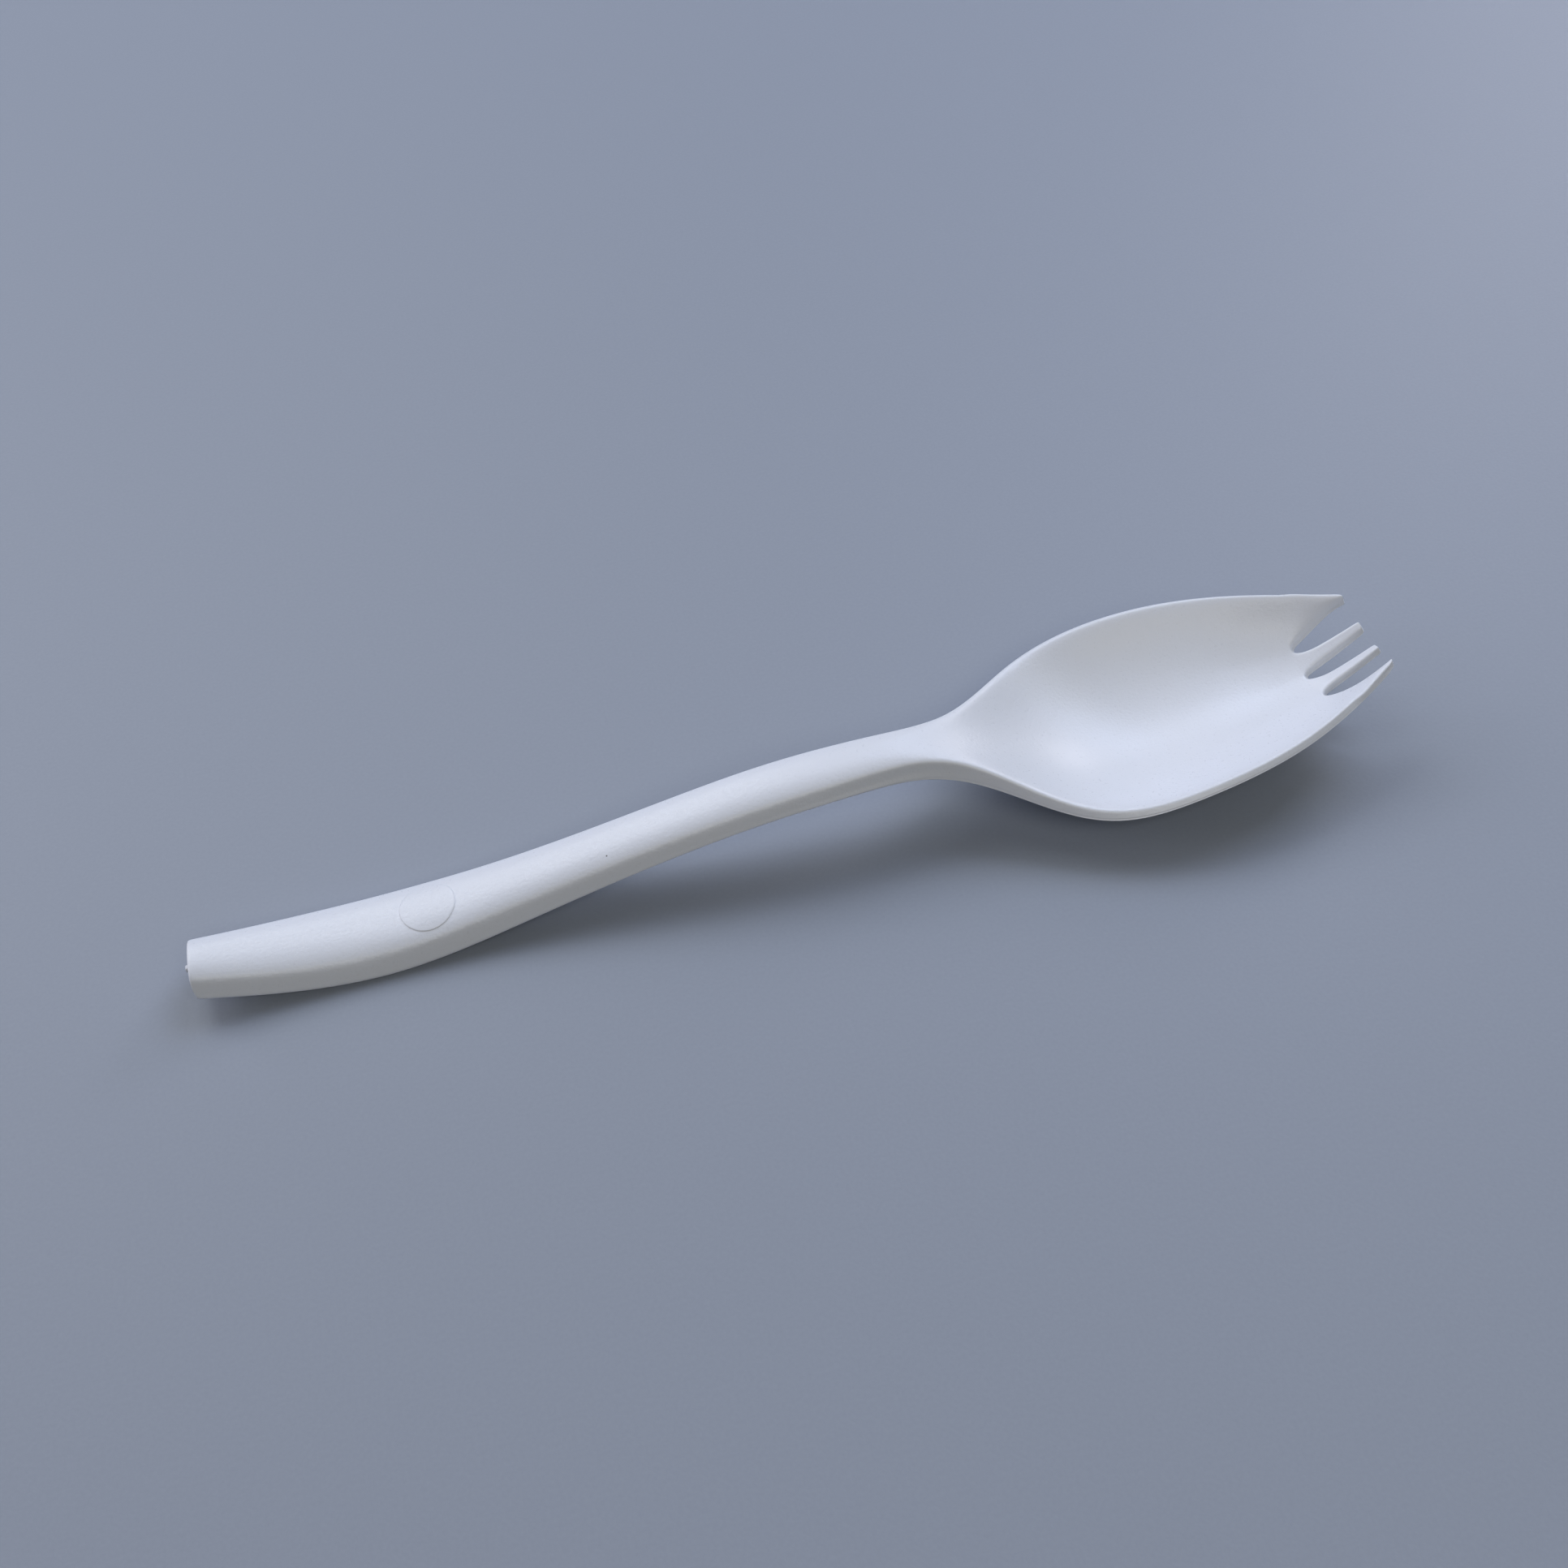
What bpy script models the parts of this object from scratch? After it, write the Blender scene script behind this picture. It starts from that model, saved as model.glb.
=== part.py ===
"""Plastic spork: a spoon bowl with four short tines on a bent, crowned handle, moulded in one piece.

Metres, Z up from the table. X runs from the handle's free end to the tines, Y across the spork.
"""

from math import pi

import bmesh
import bpy
from mathutils import Matrix, Vector

# Lengths along the spork
HANDLE_LENGTH = 0.0913        # free end to the narrowest place of the neck
BOWL_LENGTH = 0.0740          # narrowest place of the neck to the tips of the inner tines
GRIP_FROM_END = 0.0209        # widest place of the handle, where it rests on the table
WAIST_FROM_NECK = 0.0463      # middle of the handle's long bend
SHANK_FROM_NECK = 0.0191      # slim part of the handle before the neck
SHOULDER_FROM_NECK = 0.0120   # start of the flare into the bowl
FLANK_FROM_NECK = 0.0259      # middle of the flare, where the rim dips lowest
BOTTOM_FROM_NECK = 0.0390     # where the bowl's belly rests on the table
FORE_FROM_NECK = 0.0530       # halfway from there to the slots
WIDEST_FROM_NECK = 0.0399     # widest place of the bowl
FRONT_FROM_TIP = 0.0130       # where the rim draws in towards the tines

# Widths across the spork, at the parting edge
END_WIDTH = 0.0084
GRIP_WIDTH = 0.0121
WAIST_WIDTH = 0.0098
SHANK_WIDTH = 0.0088
NECK_WIDTH = 0.0083
SHOULDER_WIDTH = 0.0109
FLANK_WIDTH = 0.0300
BOWL_WIDTH = 0.0356
FRONT_WIDTH = 0.0271
TIP_WIDTH = 0.0137            # rim lines carried on to the level of the inner tips

# Heights of the parting edge above the table
END_HEIGHT = 0.0033
GRIP_HEIGHT = 0.0003
WAIST_HEIGHT = 0.0032
SHANK_HEIGHT = 0.00875
NECK_HEIGHT = 0.0104
SHOULDER_HEIGHT = 0.00955
FLANK_HEIGHT = 0.0065
WIDEST_HEIGHT = 0.0080
FRONT_HEIGHT = 0.01035
TIP_HEIGHT = 0.0119

# Thickness above the parting edge
END_RISE = 0.0036
GRIP_RISE = 0.0040
SHANK_RISE = 0.0029
NECK_RISE = 0.0025
RIM_RISE = 0.0014
TIP_RISE = 0.0012

# Depth of the bowl on its centre line, below the top of its rim, and the walls
SHOULDER_DEPTH = 0.0004
FLANK_DEPTH = 0.0033
FORE_DEPTH = 0.0070
ROOT_DEPTH = 0.0063
TIP_DEPTH = 0.0022
SHOULDER_WALL = 0.0036
BOWL_WALL = 0.0020
TINE_WALL = 0.0013
EDGE_DROP = 0.0007            # underside of the handle below its parting edge
NECK_LIP = 0.0003             # blunt edge below the parting edge
SHOULDER_LIP = 0.0012
RIM_LIP = 0.0003
TIP_LIP = 0.0002
RIM_BAND = 0.0011             # rounded top of the rim, across
TABLE_CUT = 0.00025           # taken off the lowest places, so that they rest flat

# Tines and slots, at the parting edge
INNER_TINE_LENGTH = 0.0080
OUTER_TINE_LENGTH = 0.0073
OUTER_TIP_SLANT = 0.0005      # how far the rim side of an outer tine ends before its slot side
SLOT_WIDTH = 0.0008           # at the round bottom
INNER_TINE_ROOT = 0.0037
INNER_TINE_TIP = 0.0018
INNER_TIP_SPACING = 0.0045    # between the middles of the two inner tips
OUTER_TINE_TIP = 0.0011
TINE_DRAFT = 0.0004           # how far a tine's top edge is drawn in
OUTER_SLOT_BEND = 1.8         # power that keeps the outer tines broad up to their tips

# Hollow along the underside of the handle
CHANNEL_DEPTH = 0.0016
CHANNEL_FROM_END = 0.0060
CHANNEL_FROM_NECK = 0.0040
CHANNEL_RUNOUT = 0.0120       # length over which each end of the hollow fades

# Round pad on the handle's top, from the end of a mould pin, and the stub of the gate
PAD_WIDTH = 0.0076
PAD_FROM_END = 0.0305         # middle of the pad
PAD_HEIGHT = 0.0002
GATE_STUB = 0.0008
GATE_WIDTH = 0.0012
GATE_TIP_WIDTH = 0.0008
GATE_HEIGHT = 0.0010          # above the parting edge

# Cage that is smoothed into the moulding
HANDLE_ROWS = 13
BOWL_ROWS = 14
TINE_SHARES = (0.15, 0.42, 0.68, 0.90, 1.0)
LANE_SHARES = (0.0, 0.15, 0.30, 0.46, 0.63, 0.81)
SLOT_LANES = (0, 3)           # a slot lies between each of these lanes and the next
HOLDING_ROW = 0.0010          # distance of a row from the edge that it keeps tight
ROUNDING_LOSS = 0.0002        # what the smoothing takes off an edge of the cage
SMOOTHING = 1
CROWN_POWER = 2.5             # squareness of the handle's crown
RIM_POWER = 8.0               # squareness of the rim's top
HANDLE_SIDE = 0.25            # share of the rise that stands upright at the edge
RIM_SIDE = 0.45
FLAT_POWER = 4                # squareness of the handle's underside
NARROW_BAND = 0.16            # most of the half width that the rim band takes
TINE_BAND = 0.3               # most of an outer tine's width that the rim band takes
SHALLOW_ARC = 0.02            # depth, as a share of the half width, below which an arc is drawn as a parabola
PAD_FACES = 9                 # across the pad
GATE_SIDES = 16
REACH = 0.0020                # how far a tool that cuts or joins reaches past the surface

LENGTH = HANDLE_LENGTH + BOWL_LENGTH
NECK = HANDLE_LENGTH
WAIST = NECK - WAIST_FROM_NECK
SHANK = NECK - SHANK_FROM_NECK
SHOULDER = NECK + SHOULDER_FROM_NECK
FLANK = NECK + FLANK_FROM_NECK
BOTTOM = NECK + BOTTOM_FROM_NECK
FORE = NECK + FORE_FROM_NECK
WIDEST = NECK + WIDEST_FROM_NECK
FRONT = LENGTH - FRONT_FROM_TIP
ROOT = LENGTH - INNER_TINE_LENGTH
CENTRE = (LENGTH - GATE_STUB) / 2
STATIONS = (0.0, GRIP_FROM_END, WAIST, SHANK, NECK, SHOULDER, FLANK, WIDEST, FRONT, LENGTH)
BAND_LANE = len(LANE_SHARES)
RIM_LANE = BAND_LANE + 1


def smooth_step(value):
    """Ease from 0 to 1 with level ends."""
    value = min(max(value, 0.0), 1.0)
    return value * value * (3 - 2 * value)


def mix(low, high, share):
    """Blend two numbers."""
    return low + (high - low) * share


def eased(places, values):
    """Return a function that eases from each value to the next and is level at every place."""
    def at(x):
        result = values[0]
        for start, end, low, high in zip(places, places[1:], values, values[1:]):
            if x > start:
                result = mix(low, high, smooth_step((x - start) / (end - start)))
        return result
    return at


def spline(places, values):
    """Return the natural cubic curve through the given values."""
    gaps = [end - start for start, end in zip(places, places[1:])]
    slopes = [(end - start) / gap for start, end, gap in zip(values, values[1:], gaps)]
    shares, loads = [0.0], [0.0]
    for i in range(1, len(gaps)):
        pivot = 2 * (gaps[i - 1] + gaps[i]) - gaps[i - 1] * shares[-1]
        loads.append((6 * (slopes[i] - slopes[i - 1]) - gaps[i - 1] * loads[-1]) / pivot)
        shares.append(gaps[i] / pivot)
    bends = [0.0]
    for share, load in zip(reversed(shares), reversed(loads)):
        bends.insert(0, load - share * bends[0])

    def at(x):
        i = max((k for k in range(len(gaps)) if x >= places[k]), default=0)
        run = x - places[i]
        lean = slopes[i] - gaps[i] * (2 * bends[i] + bends[i + 1]) / 6
        twist = (bends[i + 1] - bends[i]) / (6 * gaps[i])
        return values[i] + run * (lean + run * (bends[i] / 2 + run * twist))
    return at


half_width = spline(STATIONS, [width / 2 for width in (
    END_WIDTH, GRIP_WIDTH, WAIST_WIDTH, SHANK_WIDTH, NECK_WIDTH,
    SHOULDER_WIDTH, FLANK_WIDTH, BOWL_WIDTH, FRONT_WIDTH, TIP_WIDTH)])
edge_height = spline(STATIONS, (
    END_HEIGHT, GRIP_HEIGHT, WAIST_HEIGHT, SHANK_HEIGHT, NECK_HEIGHT,
    SHOULDER_HEIGHT, FLANK_HEIGHT, WIDEST_HEIGHT, FRONT_HEIGHT, TIP_HEIGHT))
rise = eased((0.0, GRIP_FROM_END, SHANK, NECK, FLANK, LENGTH),
             (END_RISE, GRIP_RISE, SHANK_RISE, NECK_RISE, RIM_RISE, TIP_RISE))
wall = eased((NECK, SHOULDER, BOTTOM, LENGTH), (NECK_RISE + EDGE_DROP, SHOULDER_WALL, BOWL_WALL, TINE_WALL))
lip = eased((SHANK, NECK, SHOULDER, WIDEST, LENGTH), (0.0, NECK_LIP, SHOULDER_LIP, RIM_LIP, TIP_LIP))


def crest(x):
    """Height of the crown or of the rim's top."""
    return edge_height(x) + rise(x)


bowl_depth = spline(
    (SHANK, NECK, SHOULDER, FLANK, BOTTOM, FORE, ROOT, LENGTH),
    (0.0, 0.0, SHOULDER_DEPTH, FLANK_DEPTH, crest(BOTTOM) - BOWL_WALL + TABLE_CUT, FORE_DEPTH,
     ROOT_DEPTH, TIP_DEPTH))


def bowl_share(x):
    """Tell how far the section has turned from the handle's into the bowl's."""
    return smooth_step((x - NECK) / FLANK_FROM_NECK)


def band_width(x):
    """Width of the rounded rim band, which narrows with the handle and the tines."""
    return min(RIM_BAND, NARROW_BAND * half_width(x))


def arc(share, half, depth):
    """Hang a round arc of the given depth between two edges and return its share at one place."""
    share = min(share, 1.0)
    if depth < SHALLOW_ARC * half:
        return 1 - share ** 2
    radius = (half ** 2 + depth ** 2) / (2 * depth)
    return ((radius ** 2 - (half * share) ** 2) ** 0.5 - radius + depth) / depth


def top_height(x, y):
    """Height of the upper surface: a crown on the handle, a round bowl behind the tines."""
    turned = bowl_share(x)
    half = half_width(x)
    side = rise(x) * mix(HANDLE_SIDE, RIM_SIDE, turned)
    across = min(abs(y) / half, 1.0)
    crown = (1 - across ** mix(CROWN_POWER, RIM_POWER, turned)) ** 0.5
    inner = half - band_width(x)
    depth = bowl_depth(x) if x > NECK else 0.0
    return edge_height(x) + side + (rise(x) - side) * crown - depth * arc(abs(y) / inner, inner, depth)


def channel(x, y):
    """Depth of the hollow under the handle, whose walls stand between two lanes of the cage."""
    along = min(x - CHANNEL_FROM_END, NECK - CHANNEL_FROM_NECK - x) / CHANNEL_RUNOUT
    across = abs(y) / half_width(x)
    floor_edge, wall_foot = LANE_SHARES[3], LANE_SHARES[4]
    return CHANNEL_DEPTH * smooth_step(along) * smooth_step((wall_foot - across) / (wall_foot - floor_edge))


def under_height(x, y):
    """Height of the lower surface: nearly flat under the handle, a round belly under the bowl."""
    half = half_width(x)
    across = min(abs(y) / half, 1.0)
    drop = bowl_depth(x) + wall(x) - rise(x) if x > NECK else EDGE_DROP
    belly = mix(1 - across ** FLAT_POWER, arc(across, half, drop), bowl_share(x))
    return edge_height(x) - mix(lip(x), drop, belly) + channel(x, y)


def rows():
    """List the cage's rows: places along the spork, then shares of the tines' lengths."""
    handle = [mix(HOLDING_ROW, NECK, i / HANDLE_ROWS) for i in range(HANDLE_ROWS)]
    bowl = [mix(NECK, ROOT - HOLDING_ROW, i / BOWL_ROWS) for i in range(BOWL_ROWS + 1)]
    return [(x, 0.0) for x in [0.0] + handle + bowl] + [(ROOT, share) for share in (0.0,) + TINE_SHARES]


def lane_places(x):
    """Spread the lanes across the handle and bowl, drawn together towards the sides of the slots."""
    half = half_width(x)
    band = half - band_width(x)
    inner = SLOT_WIDTH / 2
    outer = inner + INNER_TINE_ROOT
    far = outer + SLOT_WIDTH
    slots = (0.0, inner, (inner + outer) / 2, outer, far, (far + band) / 2)
    gathered = smooth_step((x - WIDEST) / (ROOT - HOLDING_ROW - WIDEST))
    spread = [mix(share * band, slot, gathered) for share, slot in zip(LANE_SHARES, slots)]
    return spread + [band, half + ROUNDING_LOSS]


def tine_places(x, share):
    """Spread the lanes across the tines, at a share of the way from the slots' bottoms to the tips."""
    rim = half_width(x) + ROUNDING_LOSS
    middle = INNER_TIP_SPACING / 2
    tips = (0.0, middle - INNER_TINE_TIP / 2, middle, middle + INNER_TINE_TIP / 2)
    roots = lane_places(ROOT)
    spread = [mix(root, tip, share) for root, tip in zip(roots, tips)]
    outer = mix(roots[len(tips)], rim - OUTER_TINE_TIP, share ** OUTER_SLOT_BEND)
    band = rim - min(band_width(x), TINE_BAND * (rim - outer))
    return spread + [outer, (outer + band) / 2, band, rim]


def under_place(row, lane):
    """Place of one point of the cage's underside, seen from above."""
    x, share = row
    if x < ROOT:
        return x, lane_places(x)[lane]
    length = INNER_TINE_LENGTH if lane <= SLOT_LANES[1] else OUTER_TINE_LENGTH
    if lane == RIM_LANE:
        length -= OUTER_TIP_SLANT
    x += share * (length + ROUNDING_LOSS)
    return x, tine_places(x, share)[lane]


def top_place(row, lane):
    """Place of one point of the cage's top, which the draft draws in from the point below it."""
    x, y = under_place(row, lane)
    share = row[1]
    if row[0] == ROOT and share in (0.0, 1.0):
        x -= TINE_DRAFT
    if share > 0 and lane in (1, 4):
        y += TINE_DRAFT
    if share > 0 and lane == 3:
        y -= TINE_DRAFT
    if lane == RIM_LANE:
        y -= ROUNDING_LOSS
    return x, y


def build_cage():
    """Make the coarse half of the moulding, open at the plane of symmetry.

    A flat grid is cut open at the slots, given its underside and walls by extruding it, and shaped.
    """
    places = rows()
    last_row = len(places) - 1
    root_row = last_row - len(TINE_SHARES)
    cage = bmesh.new()
    row_of = cage.verts.layers.int.new("row")
    lane_of = cage.verts.layers.int.new("lane")
    bmesh.ops.create_grid(cage, x_segments=last_row, y_segments=RIM_LANE, size=0.5)
    for point in cage.verts:
        point[row_of] = round((point.co.x + 0.5) * last_row)
        point[lane_of] = round((point.co.y + 0.5) * RIM_LANE)
    slots = [face for face in cage.faces
             if min(point[row_of] for point in face.verts) >= root_row
             and min(point[lane_of] for point in face.verts) in SLOT_LANES]
    bmesh.ops.delete(cage, geom=slots, context='FACES')
    upper = set(cage.verts)
    bmesh.ops.extrude_face_region(cage, geom=cage.faces[:])
    for point in cage.verts:
        row, lane = places[point[row_of]], point[lane_of]
        if point in upper:
            x, y = top_place(row, lane)
            point.co = (x, y, top_height(x, y))
        else:
            x, y = under_place(row, lane)
            point.co = (x, y, under_height(x, y))
    centre = [face for face in cage.faces if not any(point[lane_of] for point in face.verts)]
    bmesh.ops.delete(cage, geom=centre, context='FACES')
    bmesh.ops.recalc_face_normals(cage, faces=cage.faces)
    return cage


def build_pad():
    """Make the round pad: a square grid is drawn round, its top follows the crown, its foot is inside."""
    pad = bmesh.new()
    bmesh.ops.create_grid(pad, x_segments=PAD_FACES, y_segments=PAD_FACES, size=1.0)
    upper = set(pad.verts)
    bmesh.ops.extrude_face_region(pad, geom=pad.faces[:])
    for point in pad.verts:
        x = PAD_FROM_END + PAD_WIDTH / 2 * point.co.x * (1 - point.co.y ** 2 / 2) ** 0.5
        y = PAD_WIDTH / 2 * point.co.y * (1 - point.co.x ** 2 / 2) ** 0.5
        point.co = (x, y, top_height(x, y) + (PAD_HEIGHT if point in upper else -REACH))
    bmesh.ops.recalc_face_normals(pad, faces=pad.faces)
    return pad


def build_table_cutter():
    """Make the block whose top is the table."""
    cutter = bmesh.new()
    size = Vector((LENGTH, BOWL_WIDTH, REACH))
    place = Matrix.Translation((LENGTH / 2, 0.0, -REACH / 2))
    bmesh.ops.create_cube(cutter, size=1.0, matrix=place @ Matrix.Diagonal(size).to_4x4())
    return cutter


def build_gate():
    """Make the stub that stays on the middle of the handle's end where the runner broke off."""
    stub = bmesh.new()
    middle = Vector(((REACH - GATE_STUB) / 2, 0.0, END_HEIGHT + GATE_HEIGHT))
    place = Matrix.Translation(middle) @ Matrix.Rotation(-pi / 2, 4, 'Y')
    bmesh.ops.create_cone(stub, cap_ends=True, segments=GATE_SIDES, radius1=GATE_WIDTH / 2,
                          radius2=GATE_TIP_WIDTH / 2, depth=GATE_STUB + REACH, matrix=place)
    return stub


def add_collection(name):
    """Add a collection to the scene."""
    collection = bpy.data.collections.new(name)
    bpy.context.scene.collection.children.link(collection)
    return collection


def add_object(name, shape, collection):
    """Put a shape into the scene, measured from the handle's end, with the origin at mid-length."""
    mesh = bpy.data.meshes.new(name)
    shape.to_mesh(mesh)
    shape.free()
    body = bpy.data.objects.new(name, mesh)
    body.location.x = -CENTRE
    collection.objects.link(body)
    return body


def combine(body, operation, name, shape, collection):
    """Cut a shape out of the body, or join it on."""
    tool = add_object(name, shape, collection)
    tool.hide_render = True
    tool.display_type = 'WIRE'
    step = body.modifiers.new(name, 'BOOLEAN')
    step.operation = operation
    step.object = tool


def white_plastic():
    """Make the off-white plastic with a satin surface."""
    material = bpy.data.materials.new("white_plastic")
    material.use_nodes = True
    shader = material.node_tree.nodes["Principled BSDF"]
    shader.inputs["Base Color"].default_value = (0.78, 0.80, 0.81, 1.0)
    shader.inputs["Roughness"].default_value = 0.42
    shader.inputs["Metallic"].default_value = 0.0
    return material


def main():
    """Build the spork."""
    for item in list(bpy.data.objects):
        bpy.data.objects.remove(item, do_unlink=True)
    parts = add_collection("plastic_spork")
    cutters = add_collection("cutters")
    spork = add_object("spork", build_cage(), parts)
    halves = spork.modifiers.new("halves", 'MIRROR')
    halves.use_axis = (False, True, False)
    halves.merge_threshold = 0.00001
    smoothing = spork.modifiers.new("smoothing", 'SUBSURF')
    smoothing.levels = SMOOTHING
    smoothing.render_levels = SMOOTHING
    combine(spork, 'UNION', "gate_stub", build_gate(), cutters)
    combine(spork, 'UNION', "pad", build_pad(), cutters)
    combine(spork, 'DIFFERENCE', "table", build_table_cutter(), cutters)
    spork.data.materials.append(white_plastic())
    spork.data.shade_smooth()


if __name__ == "__main__":
    main()
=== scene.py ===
"""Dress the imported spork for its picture: one white plastic moulding, lying on a pale table.

Sizes are millimetres from the free end of the handle, the middle line and the table, as a mould
maker would give them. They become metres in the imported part's frame when a mesh is placed.
"""

import logging
from collections.abc import Sequence
from dataclasses import dataclass, field
from enum import IntEnum
from math import atan2, cos, radians, sin
from typing import Any

import bmesh
import bpy
from mathutils import Matrix, Vector

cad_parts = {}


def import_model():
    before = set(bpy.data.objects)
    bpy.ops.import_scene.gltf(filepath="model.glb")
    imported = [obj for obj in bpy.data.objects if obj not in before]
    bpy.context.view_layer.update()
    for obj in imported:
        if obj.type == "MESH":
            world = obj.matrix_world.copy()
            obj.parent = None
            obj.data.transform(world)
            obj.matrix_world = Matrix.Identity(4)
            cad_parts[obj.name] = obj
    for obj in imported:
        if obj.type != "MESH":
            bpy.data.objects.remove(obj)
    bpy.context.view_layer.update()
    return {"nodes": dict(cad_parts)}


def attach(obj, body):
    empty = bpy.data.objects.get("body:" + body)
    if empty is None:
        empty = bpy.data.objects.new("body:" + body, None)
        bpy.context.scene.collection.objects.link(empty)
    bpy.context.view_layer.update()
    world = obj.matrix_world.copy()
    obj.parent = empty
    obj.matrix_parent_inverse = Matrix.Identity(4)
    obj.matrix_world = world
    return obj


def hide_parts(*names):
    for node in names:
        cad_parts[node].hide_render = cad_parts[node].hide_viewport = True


LOG = logging.getLogger("spork_scene")
MM = 0.001  # one millimetre in metres
MERGE = 0.001  # points of the cage that are closer than this, in millimetres, are one
GRID_HALF = 0.5  # half of the flat grid's side, before its points are placed
END_ROW = 0  # the cage's row at the handle's end
FLAT_ARC = 0.02  # an arc shallower than this share of its half width is drawn as a parabola
# A Mix node's colour sockets go by number, because others have the same names.
MIX_FIRST, MIX_SECOND, MIX_RESULT = 6, 7, 2


def mix(low: float, high: float, share: float) -> float:
    """Blend two numbers by a share from 0 to 1."""
    return low + (high - low) * share


def smooth_step(value: float) -> float:
    """Ease from 0 to 1 with level ends."""
    value = min(max(value, 0.0), 1.0)
    return value * value * (3 - 2 * value)


def linear_colour(code: str) -> tuple[float, float, float, float]:
    """Turn an sRGB hex colour into linear light.

    Args:
        code: Six hex digits after a hash sign.

    Returns:
        Red, green, blue and a full alpha.
    """
    parts = [int(code[i:i + 2], 16) / 255 for i in (1, 3, 5)]
    red, green, blue = (p / 12.92 if p <= 0.04045 else ((p + 0.055) / 1.055) ** 2.4 for p in parts)
    return red, green, blue, 1.0


def add_node(tree: bpy.types.NodeTree, kind: str, settings: dict[str, Any] | None = None,
             numbered: dict[int, Any] | None = None, **inputs: Any) -> bpy.types.Node:
    """Add a shader node with its settings, values and links.

    Args:
        tree: Node tree that gets the node.
        kind: Blender's type name of the node.
        settings: Properties of the node itself.
        numbered: Values or output sockets by input number.
        **inputs: Values or output sockets by input name, with underscores for spaces.

    Returns:
        The new node.
    """
    node = tree.nodes.new(kind)
    for name, value in (settings or {}).items():
        setattr(node, name, value)
    named = {name.replace("_", " "): value for name, value in inputs.items()}
    for key, value in {**(numbered or {}), **named}.items():
        socket = node.inputs[key]
        if isinstance(value, bpy.types.NodeSocket):
            tree.links.new(value, socket)
        else:
            socket.default_value = value
    return node


class NaturalCurve:
    """Natural cubic curve through values at places along the spork."""

    def __init__(self, places: Sequence[float], values: Sequence[float]) -> None:
        """Solve the curve's bends.

        Args:
            places: Places along the spork, in rising order.
            values: Value at each place.
        """
        self.places = tuple(places)
        self.values = tuple(values)
        self.gaps = [end - start for start, end in zip(places, places[1:])]
        self.slopes = [(high - low) / gap for low, high, gap in zip(values, values[1:], self.gaps)]
        shares, loads = [0.0], [0.0]
        for i in range(1, len(self.gaps)):
            pivot = 2 * (self.gaps[i - 1] + self.gaps[i]) - self.gaps[i - 1] * shares[-1]
            turn = self.slopes[i] - self.slopes[i - 1]
            loads.append((6 * turn - self.gaps[i - 1] * loads[-1]) / pivot)
            shares.append(self.gaps[i] / pivot)
        self.bends = [0.0]
        for share, load in zip(reversed(shares), reversed(loads)):
            self.bends.insert(0, load - share * self.bends[0])

    def __call__(self, x: float) -> float:
        """Follow the curve.

        Args:
            x: Place along the spork.

        Returns:
            The value there.
        """
        i = max((k for k in range(len(self.gaps)) if x >= self.places[k]), default=0)
        run = x - self.places[i]
        gap, bend, after = self.gaps[i], self.bends[i], self.bends[i + 1]
        lean = self.slopes[i] - gap * (2 * bend + after) / 6
        return self.values[i] + run * (lean + run * (bend / 2 + run * (after - bend) / (6 * gap)))


class EasedCurve:
    """Curve that eases from each value to the next and is level at every place."""

    def __init__(self, places: Sequence[float], values: Sequence[float]) -> None:
        """Keep the places along the spork and the value at each."""
        self.places = tuple(places)
        self.values = tuple(values)

    def __call__(self, x: float) -> float:
        """Follow the curve.

        Args:
            x: Place along the spork.

        Returns:
            The value there.
        """
        result = self.values[0]
        spans = zip(self.places, self.places[1:], self.values, self.values[1:])
        for start, end, low, high in spans:
            if x > start:
                result = mix(low, high, smooth_step((x - start) / (end - start)))
        return result


class Layer(IntEnum):
    """Where a point of the cage belongs in the thickness of the moulding."""

    TOP = 0
    WALL = 1
    UNDER = 2


class Lane(IntEnum):
    """Lanes of the cage from the middle line out, named for what they become at the tines."""

    MIDDLE = 0
    INNER_NEAR = 1
    INNER_RIDGE = 2
    INNER_FAR = 3
    OUTER_NEAR = 4
    OUTER_RIDGE = 5
    CREASE = 6
    RIM = 7


@dataclass(frozen=True)
class Station:
    """Outline of the moulding at one place: width and height of its parting edge."""

    along: float
    width: float
    height: float


@dataclass(frozen=True)
class HandleSizes:
    """Sizes of the handle, with a crowned top and a shallow hollow below."""

    end: Station = Station(0.0, 8.4, 3.3)
    grip: Station = Station(20.9, 12.1, 0.3)
    waist: Station = Station(45.0, 9.8, 3.2)
    shank: Station = Station(72.2, 8.8, 8.75)
    neck: Station = Station(91.3, 8.3, 10.4)
    end_rise: float = 3.6
    grip_rise: float = 4.0
    shank_rise: float = 2.9
    neck_rise: float = 2.5
    side: float = 0.25
    crown_power: float = 2.6
    edge_drop: float = 0.7
    neck_lip: float = 0.3
    flat_power: float = 4.0
    channel_depth: float = 1.6
    channel_start: float = 6.0
    channel_end: float = 87.3
    channel_runout: float = 12.0


@dataclass(frozen=True)
class BowlSizes:
    """Sizes of the bowl, with a rounded rim and a belly that rests on the table."""

    shoulder: Station = Station(103.3, 10.9, 9.55)
    flank: Station = Station(117.2, 30.0, 6.5)
    widest: Station = Station(131.2, 35.6, 8.0)
    front: Station = Station(152.3, 27.1, 10.35)
    tip: Station = Station(165.3, 13.7, 11.9)
    bottom: float = 130.3
    fore: float = 144.3
    rim_rise: float = 1.05
    tip_rise: float = 1.2
    side: float = 0.45
    rim_power: float = 8.0
    rim_band: float = 0.85
    narrow_band: float = 0.16
    lean: float = 0.75
    lean_most: float = 0.55
    crease_lean: float = 0.25
    shoulder_depth: float = 0.4
    flank_depth: float = 3.3
    fore_depth: float = 7.0
    root_depth: float = 6.3
    tip_depth: float = 2.2
    shoulder_lip: float = 0.95
    rim_lip: float = 0.05
    tip_lip: float = 0.05
    shoulder_wall: float = 3.6
    wall: float = 2.0
    tine_wall: float = 1.15
    table_cut: float = 0.25


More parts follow.
